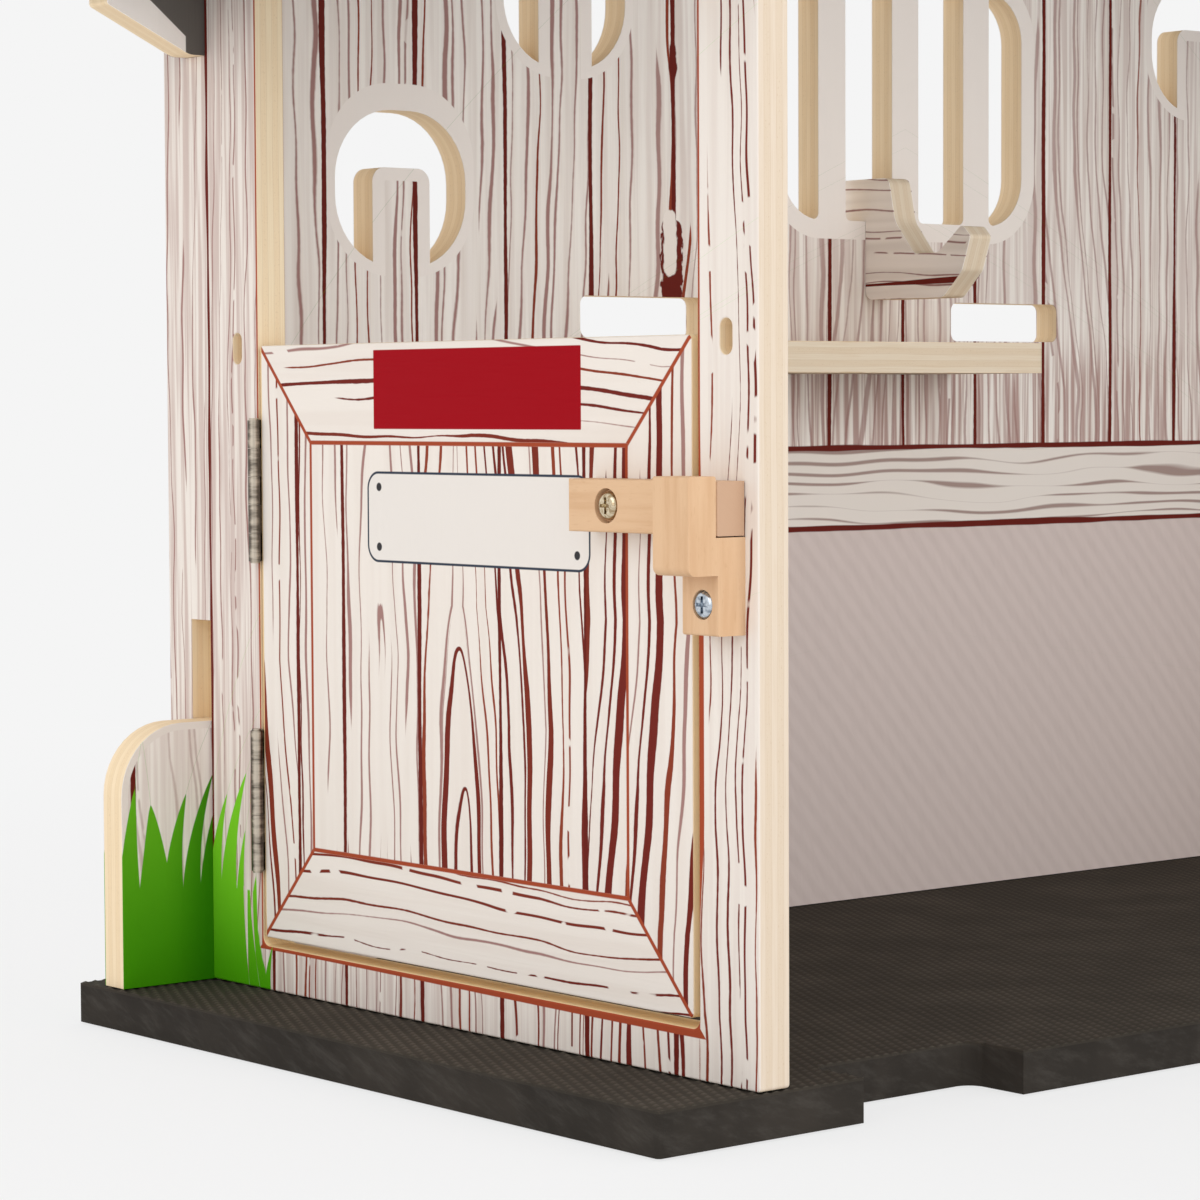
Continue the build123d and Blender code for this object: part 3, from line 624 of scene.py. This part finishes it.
def back_wall_finish():
    """Finish of the back wall; its left half inside is printed bolder than the rest."""
    finish, (x, y, z) = new_finish("printed_back_wall")
    sheet = finish.node_tree
    z = z - mat_top
    depth = y - back_middle
    on_face = face_share(depth)
    band = z.above(rail_low, 0.05) * z.below(rail_high, 0.05)
    outside = abs(x).above(half_length, 0.1)
    inside = depth.below(0.0)
    open_end = x.rise(-120.0, -60.0)
    dark, faint, joint, hue = draw_grain(
        x + 0.9, z, back_plank, pitch=4.3, seed=7.0,
        pale=outside.chosen(open_end.chosen(0.70, 0.93), 0.96),
        broken=0.10, knots=1.0 - inside, bold=outside.chosen(0.40, 0.20), soft=1.25,
        seams=open_end.chosen(1.2, 1.0))
    faint = faint * outside.chosen(open_end.chosen(1.0, 0.70), 0.45)
    lines = (dark, faint, joint, hue)
    # The ground inside is painted lighter than the other boards' cream, painted light for the
    # shade inside the barn; above the foot, the strip beyond the end walls is darker and more
    # beige, partly its print and partly painted shade.
    ground = coat(sheet, paint(247, 240, 232), paint(214, 200, 190),
                  outside * z.above(72.0))
    # The mauve wash is print; at the open end it stays heavy below the shelf and thins above it,
    # so the darker band under the shelf is partly painted shade.
    wash = open_end.chosen(0.12, z.rise(158.0, 176.0, 1.0, 0.42))
    printed = print_planks(x, z, lines, outside.chosen(wash, 0.30), ground)
    rough_edge = (mottle(x * 0.7, z * 0.30, 2.0) - 0.5) * 2.6
    swell = z.rise(243.0, 248.0, 0.0, 1.5) * z.rise(251.0, 261.0, 1.0, 0.0)
    smudge = (swell + rough_edge * 0.5 - abs(x - seam)).above(0.0, 0.2) * swell.above(0.3, 0.3)
    burn = (corner_box(x, z, *burn_place) + rough_edge).below(0.0, 0.2)
    hollow = (corner_box(x, z, *hollow_place) + rough_edge * 0.5).below(0.0, 0.2)
    printed = coat(sheet, printed, joint_red, most(smudge, burn))
    printed = coat(sheet, printed, paint(240, 230, 221), hollow)
    sway = mottle(x * 0.014, z * 0.06, 1.0) * 9.0
    row = ((z + sway) / wave_step).work("FLOOR")
    waves = abs(z + sway - (row + 0.5) * wave_step)
    wave_width = mottle(x * 0.015 + row * 5.3, row * 2.7, 1.0).rise(0.36, 0.60, -0.1, 0.62)
    rail = coat(sheet, cream, paint(168, 145, 137), waves.below(wave_width, 0.25))
    printed = coat(sheet, printed, rail, band)
    printed = coat(sheet, printed, paint(243, 234, 226), plain_round(x, z))
    foot_edge = corner_box(abs(x), z, *foot_place)
    foot_margin = foot_edge.above(-1.9, 0.1) * outside * z.below(70.0)
    printed = coat(sheet, printed, cream, foot_margin)
    kick = z.below(rail_low, 0.05) * inside * abs(x).below(half_inside, 0.1)
    hatch = ((x + z * 0.91) * (math.tau / weave_step) + 0.9).work("SINE")
    flecks = mottle(x * 0.5 + z * 0.25, z * 0.12 - x * 0.06, 2.0)
    weave = hatch.rise(-1.0, 1.0) * 0.38 + flecks.rise(0.4, 0.9) * 0.3
    printed = coat(sheet, printed, coat(sheet, kick_grey, kick_line, weave), kick)
    rules = least(abs(z - rail_low), abs(z - rail_high)) - mottle(x * 0.02, z * 0.1, 2.0) * 1.6
    rules = rules.below(0.0, 0.15) * abs(x).below(half_inside, 0.1)
    printed = coat(sheet, printed, joint_red, rules)
    printed = gable_edges(finish, x, z, printed)
    # The cut edges are painted lighter and more golden than plain ply, painted light for the
    # shade in the window, the slots and the horseshoes.
    edge = cut_edge(depth, z + x, x, paint(243, 221, 188), paint(231, 205, 165))
    board_finish(finish, printed, edge, on_face, x, z)
    return finish


dress("back_wall", back_wall_finish())


# ---------------------------------------------------------------- front gable
# An open arch of the same printed ply. It slots into the tops of the end walls, ties
# them together and carries the front of the roof.
def front_gable_finish():
    """Finish of the gable, printed on both faces."""
    finish, (x, y, z) = new_finish("printed_front_gable")
    z = z - mat_top
    depth = y + back_middle
    on_face = face_share(depth)
    lines = draw_grain(x + 9.0, z - 200.0, wall_plank, pitch=4.3, seed=11.0, pale=0.6,
                       bold=0.75)
    printed = print_planks(x, z, lines, 0.4)
    printed = gable_edges(finish, x, z, printed)
    edge = cut_edge(depth, z + x, x)
    board_finish(finish, printed, edge, on_face, x, z)
    return finish


dress("front_gable", front_gable_finish())


# ---------------------------------------------------------------- roof
# Two sheets of ply, printed as slates and dropped over the gables' tabs. A folded
# ridge strip lies over their joint.
roof_pitch = math.radians(40.0)
roof_foot = 302.7       # underside of the roof over the end walls' outer faces
eave_edge = -49.3
verge_edge = 129.3
slate_length = 24.0
slate_width = 30.0
slate_grey = paint(94, 90, 86)


def roof_finish(name):
    """Finish of one roof board; along runs up the slope, out square to it."""
    finish, (x, y, z) = new_finish(name)
    sheet = finish.node_tree
    inward = half_length - abs(x)
    rise = z - roof_foot
    along = inward * math.cos(roof_pitch) + rise * math.sin(roof_pitch)
    out = rise * math.cos(roof_pitch) - inward * math.sin(roof_pitch)
    depth = out - half_sheet
    on_face = face_share(depth) * along.above(eave_edge, 0.1)
    on_face = on_face * abs(y).below(verge_edge, 0.1)
    course = (along / slate_length).work("FLOOR")
    up_course = along - course * slate_length
    shift = (course * 0.5).work("FRACT") * slate_width
    column = ((y + shift) / slate_width).work("FLOOR")
    in_slate = y + shift - (column + 0.5) * slate_width
    first, second = lots(column * 7.0 + course * 53.0)[:2]
    slope_streak = mottle(y * 0.3 + first * 20.0, along * 0.06, 3.0)
    light = paint(98, 94, 91)
    deep = paint(66, 63, 62)
    gap_dark = paint(36, 34, 34)
    slate = coat(sheet, slate_grey, light, first * 0.7)
    slate = coat(sheet, slate, deep, slope_streak.rise(0.45, 0.8) * 0.8)
    wavy = mottle(y * 0.12 + second * 9.0, along * 0.05, 2.0) * 1.6
    gap = least(slate_width / 2 - abs(in_slate), up_course - wavy + 0.8)
    slate = coat(sheet, slate, gap_dark, gap.below(0.65, 0.15))
    # A lighter line just beside each gap is a painted highlight on the slates' edges.
    slate = coat(sheet, slate, light, gap.below(1.5, 0.2) * gap.above(0.9, 0.1) * 0.5)
    edge = cut_edge(depth, along + y, y)
    colour = coat(sheet, edge, slate, on_face)
    rough = on_face.chosen(0.64 + first * 0.05, 0.45 + slope_streak * 0.15)
    finish_board(finish, colour, rough, gap.rise(0.2, 1.4))
    return finish


dress("left_roof_board", roof_finish("slate_left_roof"))
dress("right_roof_board", roof_finish("slate_right_roof"))


def ridge_finish():
    """Dark, streaked and specked, like the slates beside it."""
    finish, (x, y, z) = new_finish("slate_ridge")
    sheet = finish.node_tree
    streak = mottle(y * 0.05, x * 0.6, 3.0)
    specks = mottle(y * 1.2, x * 1.2 + z, 3.0, 0.7)
    colour = coat(sheet, paint(74, 70, 68), paint(94, 90, 87), streak.rise(0.35, 0.7))
    colour = coat(sheet, colour, paint(50, 48, 47), specks.rise(0.6, 0.8) * 0.6)
    finish_board(finish, colour, 0.48 + streak * 0.15, specks)
    return finish


dress("ridge_cap", ridge_finish())


# ---------------------------------------------------------------- shelf
# A narrow shelf of unprinted birch ply under clear lacquer. Two tabs on its rear
# edge are pushed through slots in the back wall.
shelf_middle = 164.7    # middle of the sheet, over the mat


def shelf_finish():
    """Wavy birch figure on the faces, plies on the edges."""
    finish, (x, y, z) = new_finish("lacquered_shelf")
    sheet = finish.node_tree
    depth = z - mat_top - shelf_middle
    on_face = face_share(depth)
    figure = mottle(y * 0.35 + mottle(x * 0.01, y * 0.05) * 6.0, x * 0.014, 3.0, 0.6)
    pores = mottle(y * 2.2, x * 0.12, 2.0)
    face = coat(sheet, paint(238, 220, 194), paint(220, 192, 154), figure.rise(0.35, 0.7))
    face = coat(sheet, face, paint(196, 164, 124), pores.rise(0.62, 0.8) * 0.4)
    edge = cut_edge(depth, x + y, y)
    colour = coat(sheet, edge, face, on_face)
    finish_board(finish, colour, 0.5 + pores * 0.12, pores)
    return finish


dress("shelf", shelf_finish())


# ---------------------------------------------------------------- bridle hook
# A small J-shaped hook, sawn from the same printed ply. It hangs over the window's
# sill and lifts off.
hook_middle = -12.5     # middle of the sheet
streak_level = 189.0    # the one dark line along the hook


def hook_finish():
    """Grain that runs level, with one bold dark line."""
    finish, (x, y, z) = new_finish("printed_hook")
    sheet = finish.node_tree
    z = z - mat_top
    depth = x - hook_middle
    on_face = face_share(depth)
    lines = draw_grain(z - 170.0, y, 60.0, pitch=4.4, seed=21.0, pale=0.85, broken=0.1,
                       knots=0.0, bold=0.5)
    # The hook's ground is painted lighter than the other boards' cream, painted light for the
    # shade it hangs in.
    printed = print_planks(z, y, lines, board=paint(252, 243, 234))
    streak = abs(z - streak_level + y * 0.02) - y.rise(95.0, 60.0, 0.4, 0.95)
    printed = coat(sheet, printed, grain_red, streak.below(0.0, 0.1))
    edge = cut_edge(depth, z + y, y)
    board_finish(finish, printed, edge, on_face, z, y)
    return finish


dress("bridle_hook", hook_finish())


# ---------------------------------------------------------------- latches
# Bar and keeper are sawn from solid beech, softened at the corners and clear
# lacquered. The bar swings on its screw and drops behind the keeper's lip, which is
# screwed to the end wall. Fine short flecks run along the wood.
bar_end = -113.0        # front end of the bar, where its end grain shows


def beech_finish(name, along_z):
    """Beech whose grain runs up or along the wall."""
    finish, (x, y, z) = new_finish(name)
    sheet = finish.node_tree
    along = z if along_z else y
    across = y if along_z else z
    figure = mottle(across * 0.30 + x * 0.2, along * 0.02, 3.0, 0.6)
    flecks = mottle(across * 2.6 + x * 1.7, along * 0.35, 1.0)
    colour = coat(sheet, paint(222, 185, 148), paint(213, 173, 135), figure.rise(0.35, 0.7))
    colour = coat(sheet, colour, paint(194, 150, 112), flecks.rise(0.66, 0.8) * 0.22)
    if not along_z:
        end_grain = (along - bar_end).below(0.1)
        colour = coat(sheet, colour, paint(200, 164, 136), end_grain)
    finish_board(finish, colour, 0.42 + flecks * 0.12, flecks)
    return finish


beech_bar = beech_finish("lacquered_beech_bar", False)
beech_keeper = beech_finish("lacquered_beech_keeper", True)
for end in ("left", "right"):
    dress(end + "_latch_bar", beech_bar)
    dress(end + "_latch_keeper", beech_keeper)


# ---------------------------------------------------------------- screws and hinges
# The latch's pivot screw is yellow-passivated steel and the keeper's screw bright
# zinc. The hinges are small rolled steel butts, let into the edges of door and
# doorway, dulled all over, with a painted highlight along the knuckles where they
# face the viewer and painted shade to either side.
pin_place = (257.7, 74.2)       # hinge pin, out and back from the barn's middle
knuckle_highlight_way = (0.77, 0.64)        # across the knuckles' painted highlight


def metal_finish(finish, tone_variation, light, deep, rough):
    """Bare or plated steel with its wear; on the hinges the same reading also carries a painted
    highlight and painted shade.
    """
    sheet = finish.node_tree
    colour = coat(sheet, light, deep, tone_variation.rise(0.35, 0.7))
    surface = sheet.nodes["Principled BSDF"]
    surface.inputs["Metallic"].default_value = 1.0
    sheet.links.new(colour, surface.inputs["Base Color"])
    sheet.links.new((rough + tone_variation * 0.15).socket, surface.inputs["Roughness"])
    return finish


def screw_finish(name, light, deep, rough):
    """Plating with a blotchy shine."""
    finish, (x, y, z) = new_finish(name)
    tone_variation = mottle(y * 0.9 + x * 1.3, z * 0.9, 3.0, 0.6)
    return metal_finish(finish, tone_variation, light, deep, rough)


def hinge_finish():
    """Dull steel, with a painted highlight along the knuckles where they face the viewer and
    painted shade beside it.
    """
    finish, (x, y, z) = new_finish("dulled_hinge_steel")
    knuckle_highlight = (pin_place[0] - abs(x)) * knuckle_highlight_way[0] - (y - pin_place[1]) * knuckle_highlight_way[1]
    tone_variation = mottle(y * 0.2, z * 0.5, 3.0, 0.6) * 0.6
    # The band where the knuckles face the viewer is painted lighter, a painted highlight, and
    # painted shade darkens them to either side; the mottle above is wear.
    tone_variation = tone_variation + abs(knuckle_highlight).rise(0.3, 1.5, 0.12, 0.36)
    return metal_finish(finish, tone_variation, paint(196, 185, 169), paint(98, 90, 82), 0.30)


yellow_screw = screw_finish("yellow_zinc_screw", paint(226, 212, 184), paint(164, 140, 106), 0.18)
zinc_screw = screw_finish("bright_zinc_screw", paint(206, 214, 222), paint(140, 150, 162), 0.2)
hinge_steel = hinge_finish()
for end in ("left", "right"):
    dress(end + "_latch_pivot_screw", yellow_screw)
    dress(end + "_keeper_screw", zinc_screw)
    for piece in ("lower_hinge_wall_leaf", "lower_hinge_door_leaf", "lower_hinge_pin",
                  "upper_hinge_wall_leaf", "upper_hinge_door_leaf", "upper_hinge_pin",
                  "hinge_wall_screws", "hinge_door_screws"):
        dress(end + "_" + piece, hinge_steel)


# ---------------------------------------------------------------- floor mat
# One slab of dark foam rubber, cut to shape with a finger recess towards each front
# corner. Its top is moulded with fine staggered studs, its cut sides are smooth and
# scuffed, and the barn stands on it unfixed.
stud_step = 0.0015      # half the distance between two studs, in metres
stud_rise = 0.0005
grid_spare = 4          # steps of the grid beyond the mat, all told
slab_depth = 0.02       # the grid's skirt reaches below the mat's underside
cad_mat = joinery["floor_mat"]
mat_corners = [v.co for v in cad_mat.data.vertices]
mat_low = Vector([min(c[i] for c in mat_corners) for i in range(3)])
mat_high = Vector([max(c[i] for c in mat_corners) for i in range(3)])

# A fine grid over the mat gets a skirt and a bottom, and all but the studs sinks.
bpy.ops.object.select_all(action="DESELECT")
columns = math.ceil((mat_high.x - mat_low.x) / stud_step) + grid_spare
rows = math.ceil((mat_high.y - mat_low.y) / stud_step) + grid_spare
bpy.ops.mesh.primitive_grid_add(x_subdivisions=columns, y_subdivisions=rows, size=1.0)
rubber = bpy.context.object
rubber.name = "studded_mat"
bpy.ops.object.mode_set(mode="EDIT")
bpy.ops.transform.resize(
    value=(columns * stud_step, rows * stud_step, 1.0),
    center_override=(0, 0, 0),
)
bpy.ops.mesh.region_to_loop()
bpy.ops.mesh.extrude_region_move(TRANSFORM_OT_translate={"value": (0, 0, -slab_depth)})
bpy.ops.mesh.edge_face_add()
bpy.ops.mesh.select_all(action="DESELECT")
bpy.ops.object.mode_set(mode="OBJECT")
for point in rubber.data.vertices:
    column = round(point.co.x / stud_step + columns / 2)
    row = round(point.co.y / stud_step + rows / 2)
    stud = row % 2 == 0 and (column + row // 2) % 2 == 0
    point.select = point.co.z > -0.001 and not stud
bpy.ops.object.mode_set(mode="EDIT")
bpy.ops.mesh.select_mode(type="VERT")
bpy.ops.transform.translate(value=(0, 0, -stud_rise))
bpy.ops.mesh.select_all(action="SELECT")
bpy.ops.transform.translate(value=(0, 0, mat_high.z))
bpy.ops.mesh.normals_make_consistent(inside=False)
bpy.ops.object.mode_set(mode="OBJECT")

# The slab is cut to the mat's outline.
cutter = bpy.data.objects.new("mat_outline", cad_mat.data.copy())
bpy.context.collection.objects.link(cutter)
bpy.ops.object.select_all(action="DESELECT")
bpy.context.view_layer.objects.active = cutter
cutter.select_set(True)
bpy.ops.object.mode_set(mode="EDIT")
bpy.ops.mesh.select_all(action="SELECT")
bpy.ops.mesh.remove_doubles(threshold=0.00001)
bpy.ops.transform.resize(value=(1, 1, 1.2), center_override=(0, 0, 0))
bpy.ops.object.mode_set(mode="OBJECT")
bpy.ops.object.select_all(action="DESELECT")
bpy.context.view_layer.objects.active = rubber
rubber.select_set(True)
trim = rubber.modifiers.new("trim", "BOOLEAN")
trim.operation = "INTERSECT"
trim.solver = "EXACT"
trim.object = cutter
bpy.ops.object.modifier_apply(modifier=trim.name)
bpy.data.objects.remove(cutter)
bpy.ops.object.shade_smooth_by_angle(angle=math.radians(40))
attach(rubber, "barn")
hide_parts("floor_mat")


def mat_finish():
    """Worn grey studs with painted shade between them, and cloudy scuffs on the cut sides."""
    finish, (x, y, z) = new_finish("foam_rubber")
    sheet = finish.node_tree
    stud_top = mat_high.z * 1000.0
    tone_variation = mottle(x * 0.03, y * 0.03, 3.0, 0.6)
    scuffs = mottle(x * 0.7 + z * 0.31, y * 0.7 - z * 0.37, 3.0, 0.7)
    shade_between_studs = (stud_top - z).rise(0.02, 0.5) * z.above(stud_top - 1.0, 0.2)
    top = z.above(stud_top - 0.9, 0.1)
    colour = coat(sheet, paint(79, 73, 65), paint(90, 83, 74), tone_variation.rise(0.35, 0.7))
    colour = coat(sheet, colour, paint(104, 95, 84), scuffs.rise(0.55, 0.8) * 0.5)
    # painted shade in the hollows between the studs
    colour = coat(sheet, colour, paint(42, 38, 34), shade_between_studs * 0.6)
    side = coat(sheet, paint(50, 46, 42), paint(60, 55, 50), tone_variation.rise(0.35, 0.7))
    clouds = mottle(x * 0.11 + z * 0.15, y * 0.11 - z * 0.20, 4.0, 0.7)
    side = coat(sheet, side, paint(88, 84, 79), clouds.rise(0.42, 0.82) * 0.30)
    colour = coat(sheet, side, colour, top)
    finish_board(finish, colour, 0.74 + scuffs * 0.15, scuffs)
    return finish


rubber.data.materials.clear()
rubber.data.materials.append(mat_finish())


# ---------------------------------------------------------------- floor and daylight
# A pale seamless floor under a white backdrop. Two large soft windows, to the left and
# in front, and open shade all round light the barn.
floor_size = 8.0        # metres
floor_drop = 0.0005     # just under the mat
backdrop_white = 0.913
open_shade = 0.95
bpy.ops.object.select_all(action="DESELECT")
bpy.ops.mesh.primitive_plane_add(size=floor_size, location=(0, 0, -floor_drop))
floor = bpy.context.object
floor.name = "studio_floor"
floor_finish = bpy.data.materials.new("studio_floor")
floor_finish.use_nodes = True
tree = floor_finish.node_tree
surface = tree.nodes["Principled BSDF"]
surface.inputs["Base Color"].default_value = (0.86, 0.865, 0.87, 1)
surface.inputs["Roughness"].default_value = 0.9
glow = tree.nodes.new("ShaderNodeEmission")
glow.inputs["Color"].default_value = (backdrop_white,) * 3 + (1,)
blend = tree.nodes.new("ShaderNodeMixShader")
rays = tree.nodes.new("ShaderNodeLightPath")
seen = most(
    Reading(tree, rays.outputs["Is Camera Ray"]),
    Reading(tree, rays.outputs["Is Glossy Ray"]),
    Reading(tree, rays.outputs["Is Transmission Ray"]),
)
place = tree.nodes.new("ShaderNodeTexCoord")
reach = tree.nodes.new("ShaderNodeVectorMath")
reach.operation = "LENGTH"
tree.links.new(place.outputs["Object"], reach.inputs[0])
far = Reading(tree, reach.outputs["Value"]).rise(0.35, 0.9, 0.80, 1.0)
tree.links.new((seen * far).socket, blend.inputs["Fac"])
tree.links.new(surface.outputs[0], blend.inputs[1])
tree.links.new(glow.outputs[0], blend.inputs[2])
tree.links.new(blend.outputs[0], tree.nodes["Material Output"].inputs["Surface"])
floor.data.materials.append(floor_finish)

world = bpy.data.worlds.new("open_shade")
bpy.context.scene.world = world
world.use_nodes = True
sky = world.node_tree
backdrop = sky.nodes["Background"]
rays = sky.nodes.new("ShaderNodeLightPath")
seen = most(
    Reading(sky, rays.outputs["Is Camera Ray"]),
    Reading(sky, rays.outputs["Is Transmission Ray"]),
)
sky.links.new(seen.chosen(open_shade, backdrop_white).socket, backdrop.inputs["Strength"])
backdrop.inputs["Color"].default_value = (1, 1, 1, 1)


def soft_window(name, spot, aim, size, power):
    """Large area lamp that faces a point of the barn."""
    lamp = bpy.data.lights.new(name, "AREA")
    lamp.shape = "RECTANGLE"
    lamp.size = size[0]
    lamp.size_y = size[1]
    lamp.energy = power
    holder = bpy.data.objects.new(name, lamp)
    bpy.context.collection.objects.link(holder)
    holder.location = spot
    way = Vector(aim) - Vector(spot)
    holder.rotation_euler = way.to_track_quat("-Z", "Y").to_euler()


soft_window("left_window", (-2.3, -0.5, 1.05), (-0.2, 0, 0.15), (1.6, 1.6), 10)
soft_window("front_window", (0.4, -2.4, 0.7), (-0.1, 0, 0.15), (2.2, 1.5), 15.5)

bpy.context.scene.view_settings.view_transform = "Standard"
